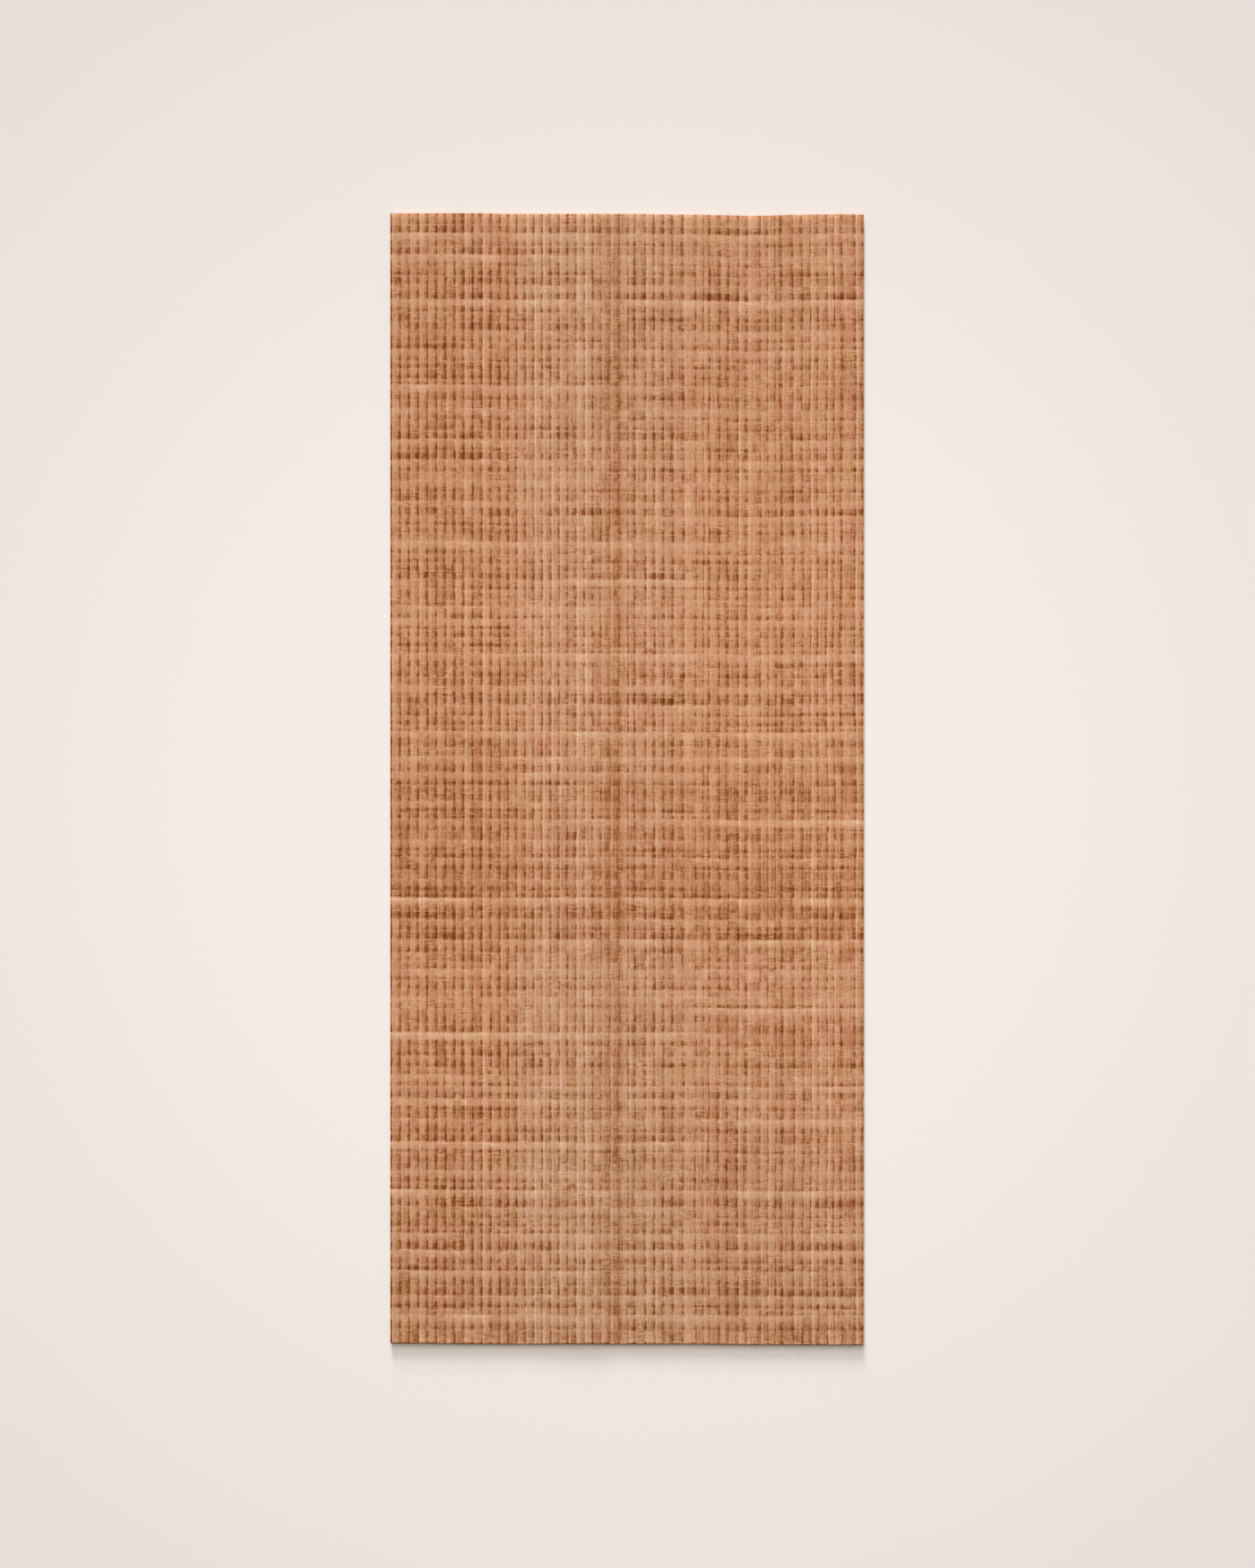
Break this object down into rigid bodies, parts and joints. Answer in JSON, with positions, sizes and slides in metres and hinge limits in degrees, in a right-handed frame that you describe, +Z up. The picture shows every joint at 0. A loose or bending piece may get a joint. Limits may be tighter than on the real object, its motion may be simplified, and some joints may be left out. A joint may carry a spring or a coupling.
{
  "type": "rug",
  "caption": "Long plain tan runner rug, laid flat, with raised lengthwise ribs, low crosswise creases and turned ends.",
  "frame": {"origin": "middle of the underside, on the surface that the rug lies on", "axes": "+Z up out of the ribbed face, +Y along the rug to its far end (the top of the picture), +X across it to the right"},
  "size_m": [0.762, 1.822, 0.0099],
  "materials": {
    "cloth": "matte woven cloth, warm tan brown, with darker grooves and paler streaks"
  },
  "bodies": {
    "root": {"rug": "cloth"}
  },
  "joints": []
}
